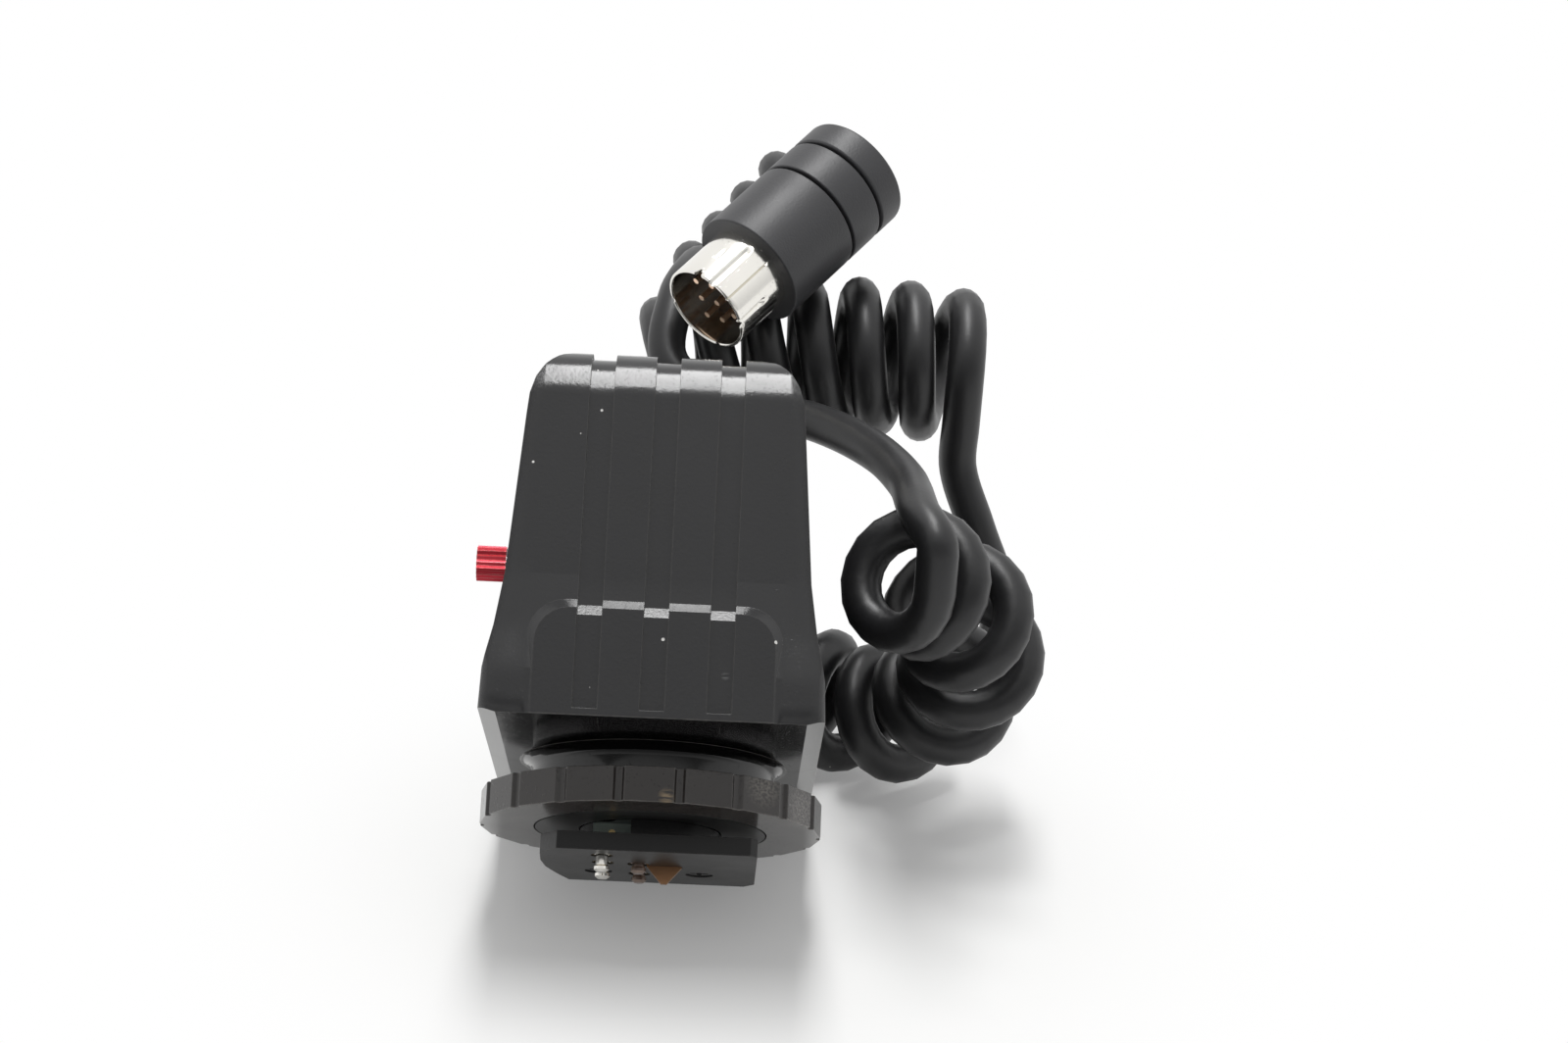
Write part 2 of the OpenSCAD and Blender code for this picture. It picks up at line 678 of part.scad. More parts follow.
// [points, heading at the start, heading at the end] of a coil with straight ends
function wound(p, up, r, start, turns, hand) = let (last = start + hand * 360 * turns,
    h0 = curl_heading(p, 0, up, r, start, hand), h1 = curl_heading(p, turns, up, r, last, hand),
    body = [for (k = [0:turns * curl_rings]) let (t = k / curl_rings)
        curl_point(p, t, up, r, start + hand * 360 * t)])
    [concat([body[0] - cord_d * h0], body, [body[len(body) - 1] + cord_d * h1]), h0, h1];
// a smooth lead through the points p between two headings
function lead_slope(p, i, h0, h1) = i == 0 ? h0 : i == len(p) - 1 ? h1 : unit(p[i + 1] - p[i - 1]);
function lead(p, h0, h1) = concat([for (i = [0:len(p) - 2], k = [0:lead_steps - 1])
    let (f = k / lead_steps, l = norm(p[i + 1] - p[i]))
    (2 * f ^ 3 - 3 * f ^ 2 + 1) * p[i] + l * (f ^ 3 - 2 * f ^ 2 + f) * lead_slope(p, i, h0, h1)
    + (3 * f ^ 2 - 2 * f ^ 3) * p[i + 1] + l * (f ^ 3 - f ^ 2) * lead_slope(p, i + 1, h0, h1)],
    [p[len(p) - 1]]);

function last(p) = p[len(p) - 1];
upper = wound(coil_upper, [0, 0, 1], coil_r_upper, 180, 6.75, 1);
lower = wound(coil_lower, [0.2, 0.3, 1], coil_r_lower, 0, 9.75, 1);
small = wound(coil_plug, [0, 0, 1], coil_r_plug, 0, 3.75, -1);
function leaned(p) = [p[0], p[1] * cos(lean_angle) + p[2] * sin(lean_angle) - (front_y + back_y) / 2,
    p[2] * cos(lean_angle) - p[1] * sin(lean_angle) + lift];
gland_out = leaned([gland_x, case_rear + gland_l, gland_z]);
gland_way = [0, cos(lean_angle), -sin(lean_angle)];
start_line = lead(concat([gland_out], start_route, [upper[0][0]]), gland_way, upper[1]);
drop_line = lead(concat([last(upper[0])], drop_route, [lower[0][0]]), upper[2], lower[1]);
rise_line = lead(concat([last(lower[0])], rise_route, [small[0][0]]), lower[2], small[1]);
end_line = lead(concat([last(small[0])], end_route, [rim_at, core_at]), small[2], -plug_dir);

// A tube of n sides along the points p, its ends square to h0 and h1
module tube(p, n, h0, h1) {
    m = len(p);
    way = [for (i = [0:m - 1]) i == 0 ? h0 : i == m - 1 ? h1 : unit(p[i + 1] - p[i - 1])];
    side = [for (i = 0, u = unit(cross(way[0], [0.3, 0.5, 0.8])); i < m; i = i + 1,
        u = i < m ? unit(u - (u * way[i]) * way[i]) : u) u];
    ring = [for (i = [0:m - 1], k = [0:n - 1]) let (a = 360 * k / n)
        p[i] + cord_d / 2 * (cos(a) * side[i] + sin(a) * cross(way[i], side[i]))];
    skin = [for (i = [0:m - 2], k = [0:n - 1]) let (a = i * n + k, b = i * n + (k + 1) % n)
        each [[a, a + n, b + n], [a, b + n, b]]];
    caps = [for (k = [1:n - 2]) each [[0, k, k + 1], [(m - 1) * n, (m - 1) * n + k + 1, (m - 1) * n + k]]];
    polyhedron(ring, concat(skin, caps));
}

// least free space between turns of a coil, over points at least a third of a turn apart
function finer(p) = concat([for (i = [0:len(p) - 2]) for (k = [0:2]) p[i] + (p[i + 1] - p[i]) * k / 3], [last(p)]);
function least(p) = let (q = finer(p))
    min([for (i = [0:len(q) - 1]) for (j = [i + 12:1:len(q) - 1]) norm(q[i] - q[j])]) - cord_d;
echo(least_gap_upper = least(upper[0]), least_gap_lower = least(lower[0]), least_gap_plug = least(small[0]));

rubber = [0.15, 0.15, 0.16];
module cord_start() color(rubber) tube(start_line, lead_sides, gland_way, upper[1]);
module cord_coil_upper() color(rubber) tube(upper[0], coil_sides, upper[1], upper[2]);
module cord_drop() color(rubber) tube(drop_line, lead_sides, upper[2], lower[1]);
module cord_coil_lower() color(rubber) tube(lower[0], coil_sides, lower[1], lower[2]);
module cord_rise() color(rubber) tube(rise_line, lead_sides, lower[2], small[1]);
module cord_coil_plug() color(rubber) tube(small[0], coil_sides, small[1], small[2]);
module cord_end() color(rubber) tube(end_line, lead_sides, small[2], -plug_dir);

// Plug --------------------------------------------------------------------------------

body_z = shell_l;
mid_z = body_z + plug_l;
cap_z = mid_z + step_w + mid_l;
plug_turn = atan2(plug_dir[1], plug_dir[0]);
plug_tip = acos(plug_dir[2]);
hollow_d = plug_d - 2.2;
core_z = plug_total - core_depth;
insert_d = shell_d - 2 * shell_wall;
insert_z = 4.2;
insert_depth = 4;

// the plug's own axis: the pins' end at 0, the cord's end up
module at_plug() {
    translate(plug_front) rotate([0, plug_tip, plug_turn]) children();
}

module plug_body() {
    color([0.17, 0.17, 0.18]) at_plug() difference() {
        union() {
            translate([0, 0, body_z]) cylinder(h = plug_l, d = plug_d);
            translate([0, 0, mid_z]) cylinder(h = step_w, d = plug_d - 2 * step_depth);
        }
        translate([0, 0, body_z - 1]) cylinder(h = 1 + insert_depth, d = insert_d);
    }
}

module plug_middle() {
    color([0.17, 0.17, 0.18]) at_plug() difference() {
        union() {
            translate([0, 0, mid_z + step_w]) cylinder(h = mid_l, d = plug_d);
            translate([0, 0, cap_z]) cylinder(h = step_w, d = plug_d - 2 * step_depth);
        }
        translate([0, 0, core_z]) cylinder(h = plug_total, d = hollow_d);
    }
}

module plug_cap() {
    color([0.17, 0.17, 0.18]) at_plug() difference() {
        translate([0, 0, cap_z + step_w]) cylinder(h = cap_l, d = plug_d);
        translate([0, 0, cap_z]) cylinder(h = cap_l + 2, d = hollow_d);
    }
}

module plug_shell() {
    color([0.85, 0.84, 0.8]) at_plug() difference() {
        cylinder(h = body_z, d = shell_d);
        translate([0, 0, -1]) cylinder(h = body_z + 2, d = insert_d);
    }
}

pin_rows = [[3, 1.55], [3, -0.45], [2, -2.3]];
module plug_insert() {
    color([0.13, 0.08, 0.06]) at_plug() difference() {
        translate([0, 0, insert_z]) cylinder(h = body_z + insert_depth - insert_z, d = insert_d);
        at_plug_pins() cylinder(h = body_z + 5, d = plug_pin_d);
    }
}

module at_plug_pins() {
    for (row = pin_rows, k = [0:row[0] - 1]) translate([(k - (row[0] - 1) / 2) * 2.05, row[1], 0]) children();
}

module plug_pins() {
    color([0.8, 0.5, 0.32]) at_plug() at_plug_pins() translate([0, 0, 1.2])
        cylinder(h = body_z + 2, d = plug_pin_d);
}

shoe_foot();
foot_screws();
shoe_neck();
neck_insert();
neck_rivet();
contact_barrels();
contact_pin_front();
contact_pin_second();
contact_pin_short();
contact_pin_rear();
centre_contact();
pressure_ring();
lock_wheel();
collar();
front_shell();
rear_shell();
case_screws();
label_plate();
circuit_board();
board_parts();
selector_switch();
selector_stem();
selector_knob();
cord_gland();
cord_start();
cord_coil_upper();
cord_drop();
cord_coil_lower();
cord_rise();
cord_coil_plug();
cord_end();
plug_cap();
plug_middle();
plug_body();
plug_shell();
plug_insert();
plug_pins();
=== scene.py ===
"""Looks for a leaning flash adapter with a lock wheel, a curly cord and a round plug, in metres."""

import math

import bmesh
import bpy
from mathutils import Matrix, Vector


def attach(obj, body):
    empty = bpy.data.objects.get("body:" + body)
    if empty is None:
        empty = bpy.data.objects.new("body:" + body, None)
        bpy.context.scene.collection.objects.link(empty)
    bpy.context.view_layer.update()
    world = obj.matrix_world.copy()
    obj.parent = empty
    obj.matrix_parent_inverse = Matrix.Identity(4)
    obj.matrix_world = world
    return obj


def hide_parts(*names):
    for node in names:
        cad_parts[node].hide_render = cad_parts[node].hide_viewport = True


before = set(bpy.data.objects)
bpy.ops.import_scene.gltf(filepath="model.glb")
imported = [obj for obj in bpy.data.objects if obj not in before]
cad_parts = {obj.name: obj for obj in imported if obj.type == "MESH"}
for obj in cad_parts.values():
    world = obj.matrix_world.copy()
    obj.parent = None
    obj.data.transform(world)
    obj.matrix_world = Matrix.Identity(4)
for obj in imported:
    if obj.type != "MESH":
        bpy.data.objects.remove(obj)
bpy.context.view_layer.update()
MM = 0.001

# ---------------------------------------------------------------- camera

LENS = 78.75
SENSOR = 36.0
TARGET = Vector((10.2, -15.4, 39.05)) * MM
DISTANCE = 285.1 * MM
CAMERA_EL = math.radians(21.62)
CAMERA_AZ = math.radians(-1)
CAMERA_ROLL = math.radians(2.93)


def make_camera():
    """The photo's camera: it looks at TARGET from DISTANCE, a little down, to the side and rolled."""
    forward = Vector((-math.sin(CAMERA_AZ) * math.cos(CAMERA_EL),
                      math.cos(CAMERA_AZ) * math.cos(CAMERA_EL), -math.sin(CAMERA_EL)))
    level = Vector((math.cos(CAMERA_AZ), math.sin(CAMERA_AZ), 0))
    rise = level.cross(forward)
    right = level * math.cos(CAMERA_ROLL) + rise * math.sin(CAMERA_ROLL)
    up = rise * math.cos(CAMERA_ROLL) - level * math.sin(CAMERA_ROLL)
    data = bpy.data.cameras.new("camera")
    data.sensor_width, data.lens = SENSOR, LENS
    data.clip_start, data.clip_end = 0.01, 10
    camera = bpy.data.objects.new("camera", data)
    camera.matrix_world = Matrix.Translation(TARGET - forward * DISTANCE) @ Matrix(
        (right, up, -forward)).transposed().to_4x4()
    bpy.context.scene.collection.objects.link(camera)
    bpy.context.scene.camera = camera


make_camera()

# ---------------------------------------------------------------- materials

SPECK_SIZE = 0.07          # a dust speck's radius, of its cell
SPECK_CELLS = 420.0        # cells per metre
DUST = (0.72, 0.71, 0.69)
BARE = (0.5, 0.48, 0.45)   # the plastic's colour on a worn edge
WEAR_REACH = 0.14 * MM
WEAR_BEND = (0.985, 0.85)  # the cosine of an edge's turn, from no wear to full wear
GRAIN_DEPTH = 0.04 * MM
SCRATCH_DEPTH = 0.03 * MM
SCRATCH_LEVELS = (0.68, 0.74)
SCRATCH_STRETCH = (5200, 420, 5200)
SCRATCH_TURN = (0.4, 0.5, 0.9)
# the shape of pale patches: worn scuffs, and on the wheel a painted reflection as well
SCUFF_AND_SHEEN_STRETCH = (700, 5200, 5200)
SCUFF_AND_SHEEN_LEVELS = (0.4, 0.6)
SCUFF_AND_SHEEN_CORE = 0.3           # the part of a scuff's radius that has its full strength
SIDE_ROUND = 2.2 * MM
SIDE_BLEND = 0.5           # the way over which a side's rounding starts, in mm


def node_of(tree, kind, **values):
    """A new node, with its settings and, under names that aren't settings, the values of its inputs."""
    node = tree.nodes.new(kind)
    for key, value in values.items():
        if hasattr(node, key):
            setattr(node, key, value)
        else:
            node.inputs[key.replace("_", " ")].default_value = value
    return node


def ranged(tree, value, low, high, out_low=0.0, out_high=1.0, **values):
    """The value, mapped from low and high to out_low and out_high."""
    node = node_of(tree, "ShaderNodeMapRange", From_Min=low, From_Max=high, To_Min=out_low, To_Max=out_high,
                   **values)
    tree.links.new(value, node.inputs["Value"])
    return node.outputs["Result"]


def combined(tree, operation, one, other):
    node = node_of(tree, "ShaderNodeMath", operation=operation)
    tree.links.new(one, node.inputs[0])
    tree.links.new(other, node.inputs[1])
    return node.outputs["Value"]


def noise(tree, place, scale, detail):
    node = node_of(tree, "ShaderNodeTexNoise", Scale=scale, Detail=detail)
    tree.links.new(place, node.inputs["Vector"])
    return node.outputs["Fac"]


def stretched(tree, place, scale, turn=(0, 0, 0)):
    node = node_of(tree, "ShaderNodeMapping", Scale=scale, Rotation=turn)
    tree.links.new(place, node.inputs["Vector"])
    return node.outputs["Vector"]


def distance_to(tree, place, spot):
    node = node_of(tree, "ShaderNodeVectorMath", operation="DISTANCE")
    node.inputs[1].default_value = spot
    tree.links.new(place, node.inputs[0])
    return node.outputs["Value"]


def bumped(tree, height, depth, strength, below=None):
    """The normal of a bump, on top of the normal below where there is one."""
    node = node_of(tree, "ShaderNodeBump", Distance=depth, Strength=strength)
    tree.links.new(height, node.inputs["Height"])
    if below:
        tree.links.new(below, node.inputs["Normal"])
    return node.outputs["Normal"]


def rounded_sides(tree, place, beyond):
    """The surface's normal, and further than beyond mm to either side that of a rounded edge."""
    soft = node_of(tree, "ShaderNodeBevel", samples=6, Radius=SIDE_ROUND)
    across = tree.nodes.new("ShaderNodeSeparateXYZ")
    tree.links.new(place, across.inputs["Vector"])
    width = node_of(tree, "ShaderNodeMath", operation="ABSOLUTE")
    tree.links.new(across.outputs["X"], width.inputs[0])
    outer = ranged(tree, width.outputs["Value"], beyond * MM, (beyond + SIDE_BLEND) * MM)
    blend = node_of(tree, "ShaderNodeMix", data_type="VECTOR")
    tree.links.new(outer, blend.inputs["Factor"])
    tree.links.new(tree.nodes.new("ShaderNodeNewGeometry").outputs["Normal"], blend.inputs[4])
    tree.links.new(soft.outputs["Normal"], blend.inputs[5])
    return blend.outputs[1]


def painted(tree, surface, colour, share):
    """The surface's colour, with another over it where the share says so."""
    node = node_of(tree, "ShaderNodeMix", data_type="RGBA")
    node.inputs["B"].default_value = (*colour, 1)
    tree.links.new(surface, node.inputs["A"])
    tree.links.new(share, node.inputs["Factor"])
    return node.outputs["Result"]


def specks_of(tree, place, amount):
    """Round dots of dust: the amount is the share of the cells that have one."""
    cells = node_of(tree, "ShaderNodeTexVoronoi", Scale=SPECK_CELLS)
    tree.links.new(place, cells.inputs["Vector"])
    pick = node_of(tree, "ShaderNodeTexWhiteNoise", noise_dimensions="3D")
    tree.links.new(cells.outputs["Position"], pick.inputs["Vector"])
    size = ranged(tree, pick.outputs["Value"], 1 - amount, 1.0, 0.0, SPECK_SIZE)
    return combined(tree, "LESS_THAN", cells.outputs["Distance"], size)


def wear_of(tree, place, amount):
    """Worn edges, broken up by noise."""
    edge = node_of(tree, "ShaderNodeVectorMath", operation="DOT_PRODUCT")
    rounded = node_of(tree, "ShaderNodeBevel", samples=4, Radius=WEAR_REACH)
    tree.links.new(rounded.outputs["Normal"], edge.inputs[0])
    tree.links.new(tree.nodes.new("ShaderNodeNewGeometry").outputs["Normal"], edge.inputs[1])
    sharp = ranged(tree, edge.outputs["Value"], *WEAR_BEND, 0.0, amount)
    return combined(tree, "MULTIPLY", sharp, noise(tree, place, 900.0, 3.0))


def scuff_and_sheen_of(tree, place, spot, reach, strength):
    """A patch of another colour around the spot, torn into streaks: worn plastic, and on the wheel a painted
    reflection as well.
    """
    near = ranged(tree, distance_to(tree, place, Vector(spot) * MM), reach * MM, SCUFF_AND_SHEEN_CORE * reach * MM,
                  0.0, strength)
    torn = ranged(tree, noise(tree, stretched(tree, place, SCUFF_AND_SHEEN_STRETCH), 1.0, 3.0), *SCUFF_AND_SHEEN_LEVELS)
    return combined(tree, "MULTIPLY", near, torn)


def plastic(name, colour, rough, grain=0.0, grain_size=0.25, specks=0.0, wear=0.0, metallic=0.0,
            vary=0.15, scratches=0.0, specular=0.5, scuffs_and_sheen=(), round_beyond=0.0):
    """A moulded or machined surface: its colour and roughness vary, and it has grain, dust and wear.

    Each of scuffs_and_sheen is a pale patch, worn plastic and on the wheel also a painted reflection: its
    place in mm, its radius in mm, its colour and its strength. Beyond round_beyond mm to either side, the
    light falls on the edges as on rounded ones.
    """
    material = bpy.data.materials.new(name)
    material.use_nodes = True
    tree = material.node_tree
    link = tree.links.new
    shader = tree.nodes["Principled BSDF"]
    shader.inputs["Metallic"].default_value = metallic
    shader.inputs["Specular IOR Level"].default_value = specular
    place = tree.nodes.new("ShaderNodeTexCoord").outputs["Object"]

    blotch = noise(tree, place, 160.0, 4.0)
    tint = node_of(tree, "ShaderNodeMix", data_type="RGBA")
    tint.inputs["A"].default_value = (*[c * (1 - vary) for c in colour], 1)
    tint.inputs["B"].default_value = (*[min(1, c * (1 + vary)) for c in colour], 1)
    link(blotch, tint.inputs["Factor"])
    surface = tint.outputs["Result"]
    link(ranged(tree, blotch, 0.0, 1.0, max(0.02, rough - 0.08), min(1, rough + 0.1)),
         shader.inputs["Roughness"])

    normal = rounded_sides(tree, place, round_beyond) if round_beyond else None
    if grain:
        normal = bumped(tree, noise(tree, place, 1000 / grain_size, 3.0), GRAIN_DEPTH, grain, normal)
    if scratches:
        lines = noise(tree, stretched(tree, place, SCRATCH_STRETCH, SCRATCH_TURN), 1.0, 1.0)
        normal = bumped(tree, ranged(tree, lines, *SCRATCH_LEVELS), SCRATCH_DEPTH, scratches, normal)
    if normal:
        link(normal, shader.inputs["Normal"])

    if specks:
        surface = painted(tree, surface, DUST, specks_of(tree, place, specks))
    if wear:
        surface = painted(tree, surface, BARE, wear_of(tree, place, wear))
    # paint the pale patches: worn scuffs, and painted reflection on the wheel
    for spot, reach, paint, strength in scuffs_and_sheen:
        surface = painted(tree, surface, paint, scuff_and_sheen_of(tree, place, spot, reach, strength))
    link(surface, shader.inputs["Base Color"])
    return material


CASE = plastic("case_plastic", (0.014, 0.014, 0.015), 0.17, grain=0.25, grain_size=0.3, specks=0.7,
               wear=0.16, scratches=0.15, scuffs_and_sheen=[((5.9, -23.5, 28.4), 0.4, (0.15, 0.15, 0.15), 0.6)],
               round_beyond=10.3)
GLOSS = plastic("gloss_plastic", (0.006, 0.006, 0.006), 0.1, grain=0.04, grain_size=0.8, specks=0.06,
                wear=0.5, scratches=0.2)
PLAIN_GLOSS = plastic("plain_gloss", (0.006, 0.006, 0.006), 0.1, grain=0.04, grain_size=0.8)
PLAIN_SATIN = plastic("plain_satin", (0.022, 0.022, 0.022), 0.36, grain=0.3, grain_size=0.4)
# the wheel's two wide pale patches on its right side are partly wear and partly a painted reflection of light
# on those facets
WHEEL = plastic("wheel_plastic", (0.03, 0.026, 0.024), 0.15, grain=0.12, grain_size=0.6, specks=0.14,
                wear=0.8, scratches=0.6,
                scuffs_and_sheen=[((1.5, -24.9, 17.9), 0.8, (0.3, 0.22, 0.13), 0.8),
                        ((9.6, -20.9, 17.4), 2.2, (0.26, 0.24, 0.21), 0.5),
                        ((13, -18.3, 14), 2.6, (0.3, 0.28, 0.26), 0.5)])
SATIN = plastic("satin_plastic", (0.012, 0.012, 0.012), 0.36, grain=0.3, grain_size=0.4, specks=0.08,
                wear=0.2, specular=0.3)
RUBBER = plastic("cord_rubber", (0.014, 0.014, 0.015), 0.4, grain=0.3, grain_size=0.5, vary=0.2, specks=0.03)
BODY_RUBBER = plastic("plug_rubber", (0.038, 0.038, 0.041), 0.44, grain=0.5, grain_size=0.22, vary=0.15,
                      specks=0.05)
NICKEL = plastic("nickel", (0.86, 0.84, 0.79), 0.14, grain=0.1, grain_size=0.5, metallic=1.0, vary=0.08,
                 scratches=0.3)
BRASS = plastic("brass", (0.72, 0.55, 0.27), 0.25, grain=0.2, grain_size=0.3, metallic=1.0, vary=0.15)
DULL = plastic("dull_metal", (0.36, 0.28, 0.24), 0.3, grain=0.3, grain_size=0.3, metallic=1.0, vary=0.25)
BRONZE = plastic("bronze", (0.4, 0.22, 0.12), 0.34, grain=0.3, grain_size=0.3, metallic=1.0, vary=0.25)
COPPER = plastic("copper", (0.95, 0.66, 0.48), 0.3, metallic=1.0, vary=0.15)
STEEL = plastic("steel", (0.5, 0.5, 0.5), 0.32, grain=0.2, metallic=1.0)
DARK_STEEL = plastic("dark_steel", (0.12, 0.12, 0.12), 0.38, grain=0.2, metallic=1.0)
RED = plastic("red_metal", (0.42, 0.02, 0.035), 0.26, grain=0.15, grain_size=0.3, metallic=0.65, vary=0.15,
              wear=0.6)
INSERT = plastic("insert_plastic", (0.02, 0.012, 0.01), 0.35, grain=0.3, grain_size=0.3)
GREY = plastic("grey_insert", (0.33, 0.4, 0.36), 0.4, grain=0.3, grain_size=0.3, specks=0.1)
BOARD = plastic("board", (0.02, 0.1, 0.045), 0.4, grain=0.2)

# ---------------------------------------------------------------- cord

CORD_D = 3.7 * MM
CURL_POINTS = 20
LEAD_POINTS = 8
CORD_SIDES = 16


def points(*rows):
    return [Vector(row) * MM for row in rows]


# points that the cord's route follows, in mm: a coil's axis has one for each turn
COIL_UPPER = points((-3, 41.8, 31), (1.7, 41.5, 32.3), (6.3, 41.2, 33.4), (10.9, 40.9, 34.2),
                    (15.5, 40.6, 34.7), (20.1, 40.3, 34.8), (24.8, 40, 34.6), (29.4, 39.7, 34))
COIL_LOWER = points((2, 28.6, 6.8), (6.5, 26.2, 6.8), (10.9, 23.7, 6.8), (15.3, 20.8, 6.8),
                    (19.8, 17.1, 7), (24.5, 13.8, 9.1), (27.7, 10.1, 13.5), (28.4, 6.1, 19),
                    (26.5, 2.3, 24.3), (22.6, -1, 28.3), (18.8, -6, 30.3))
COIL_PLUG = points((3.6, 58.1, 35.3), (6.4, 59.3, 38.3), (9.2, 60.5, 41.3), (12, 61.7, 44.3),
                   (14.7, 62.9, 47.3))
START_ROUTE = points((-3, 30.8, 14.4), (-3.3, 34, 17.4), (-3.5, 35, 22.4))
DROP_ROUTE = points((27.8, 33.5, 26), (29.9, 32.2, 20.5), (32.6, 31.4, 13), (31.5, 34.2, 5.6),
                    (24.3, 37.2, 2.4), (13.8, 38.2, 2.4), (5.6, 37, 4))
RISE_ROUTE = points((22.2, -3.4, 35.5), (21.3, 5.6, 35.1), (18.5, 15.6, 34.3), (13.3, 23.6, 33.8),
                    (5.6, 28.8, 33.6), (-0.6, 31.4, 36.2), (-0.4, 36.6, 41.2), (1.3, 43.2, 42.4),
                    (2, 48.2, 41))
END_ROUTE = points((13.9, 51.4, 52.6))

PLUG_FRONT = Vector((2.5, 28.6, 42.8)) * MM
PLUG_DIR = Vector((0.6, 0.66, 0.42)).normalized()
PLUG_LENGTH = 22.8 * MM
CORE_DEPTH = 5.9 * MM
RIM_OFF = 2.6 * MM * Vector((-0.3, 0.7, -0.65)).normalized()
# where the cord ends inside the plug's hollow tail, and where it enters that tail
CORE_AT = PLUG_FRONT + (PLUG_LENGTH - CORE_DEPTH) * PLUG_DIR
RIM_AT = CORE_AT + CORE_DEPTH * PLUG_DIR + RIM_OFF


def slope(p, i):
    """How far p goes at its point i for each of its steps."""
    low, high = max(i - 1, 0), min(i + 1, len(p) - 1)
    return (p[high] - p[low]) / (high - low)


def hermite(a, b, ta, tb, f):
    """The point at f, from 0 to 1, of a smooth curve from a to b with the slopes ta and tb."""
    return ((2 * f**3 - 3 * f**2 + 1) * a + (f**3 - 2 * f**2 + f) * ta
            + (3 * f**2 - 2 * f**3) * b + (f**3 - f**2) * tb)


def on_axis(p, t):
    """Position and heading of a coil's axis at turn t."""
    i = min(int(t), len(p) - 2)
    f = t - i
    a, b, ta, tb = p[i], p[i + 1], slope(p, i), slope(p, i + 1)
    heading = (6 * f**2 - 6 * f) * (a - b) + (3 * f**2 - 4 * f + 1) * ta + (3 * f**2 - 2 * f) * tb
    return hermite(a, b, ta, tb, f), heading


def wound(p, up, radius, start, turns, hand):
    """The points of a coil with straight ends, and its headings at both ends."""
    path, headings = [], []
    steps = round(turns * CURL_POINTS)
    for k in range(steps + 1):
        t = k / CURL_POINTS
        centre, drift = on_axis(p, t)
        axis = drift.normalized()
        a = math.radians(start) + hand * 2 * math.pi * t
        n1 = (Vector(up) - Vector(up).dot(axis) * axis).normalized()
        n2 = axis.cross(n1)
        path.append(centre + radius * (math.cos(a) * n1 + math.sin(a) * n2))
        headings.append((drift + hand * radius * 2 * math.pi
                         * (math.cos(a) * n2 - math.sin(a) * n1)).normalized())
    path.insert(0, path[0] - CORD_D * headings[0])
    path.append(path[-1] + CORD_D * headings[-1])
    return path, headings[0], headings[-1]


def lead(p, first, final):
    """A smooth line through p between two headings, without its last point."""
    ways = [first] + [(p[i + 1] - p[i - 1]).normalized() for i in range(1, len(p) - 1)] + [final]
    line = []
    for i in range(len(p) - 1):
        reach = (p[i + 1] - p[i]).length
        line += [hermite(p[i], p[i + 1], reach * ways[i], reach * ways[i + 1], k / LEAD_POINTS)
                 for k in range(LEAD_POINTS)]
    return line


def tube(name, path, radius):
    """A closed mesh tube along path."""
    mesh = bmesh.new()
    rings = []
    side = None
    for i, point in enumerate(path):
        way = (path[min(i + 1, len(path) - 1)] - path[max(i - 1, 0)]).normalized()
        side = way.orthogonal() if side is None else side - side.dot(way) * way
        side.normalize()
        other = way.cross(side)
        rings.append([mesh.verts.new(point + radius * (math.cos(a) * side + math.sin(a) * other))
                      for a in [2 * math.pi * k / CORD_SIDES for k in range(CORD_SIDES)]])
    for low, high in zip(rings, rings[1:]):
        for k in range(CORD_SIDES):
            after = (k + 1) % CORD_SIDES
            mesh.faces.new((low[k], low[after], high[after], high[k]))
    mesh.faces.new(list(reversed(rings[0])))
    mesh.faces.new(rings[-1])
    return piece(name, mesh, smooth=True)


def piece(name, mesh, smooth=False, material=None):
    """A visible object from a bmesh."""
    data = bpy.data.meshes.new(name)
    bmesh.ops.recalc_face_normals(mesh, faces=mesh.faces)
    mesh.to_mesh(data)
    mesh.free()
    made = bpy.data.objects.new(name, data)
    bpy.context.scene.collection.objects.link(made)
    for face in data.polygons:
        face.use_smooth = smooth
    if material:
        data.materials.append(material)
    return made


LEAN = math.radians(36.7825)
GLAND_WAY = Vector((0, math.cos(LEAN), -math.sin(LEAN)))
END_FACE = 0.01 * MM  # how close to the gland's far end its end face's corners lie


def gland_mouth():
    """The centre of the gland's outer end face, read from the CAD solid."""
    verts = [v.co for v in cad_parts["cord_gland"].data.vertices]
    far = max(v.dot(GLAND_WAY) for v in verts)
    rim = [v for v in verts if v.dot(GLAND_WAY) > far - END_FACE]
    return sum(rim, Vector()) / len(rim)


GLAND_OUT = gland_mouth()
# each coil: its axis, the way up, its radius, the degrees at which it starts, its turns and its hand
upper, upper_in, upper_out = wound(COIL_UPPER, (0, 0, 1), 6 * MM, 180, 6.75, 1)
lower, lower_in, lower_out = wound(COIL_LOWER, (0.2, 0.3, 1), 4.8 * MM, 0, 9.75, 1)
small, small_in, small_out = wound(COIL_PLUG, (0, 0, 1), 4.4 * MM, 0, 3.75, -1)
route = (lead([GLAND_OUT] + START_ROUTE + [upper[0]], GLAND_WAY, upper_in) + upper[:-1]
         + lead([upper[-1]] + DROP_ROUTE + [lower[0]], upper_out, lower_in) + lower[:-1]
         + lead([lower[-1]] + RISE_ROUTE + [small[0]], lower_out, small_in) + small[:-1]
         + lead([small[-1]] + END_ROUTE + [RIM_AT, CORE_AT], small_out, -PLUG_DIR) + [CORE_AT])
cord = tube("cord", route, CORD_D / 2)
cord.data.materials.append(RUBBER)
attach(cord, "housing")
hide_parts("cord_start", "cord_coil_upper", "cord_drop", "cord_coil_lower", "cord_rise",
            "cord_coil_plug", "cord_end")

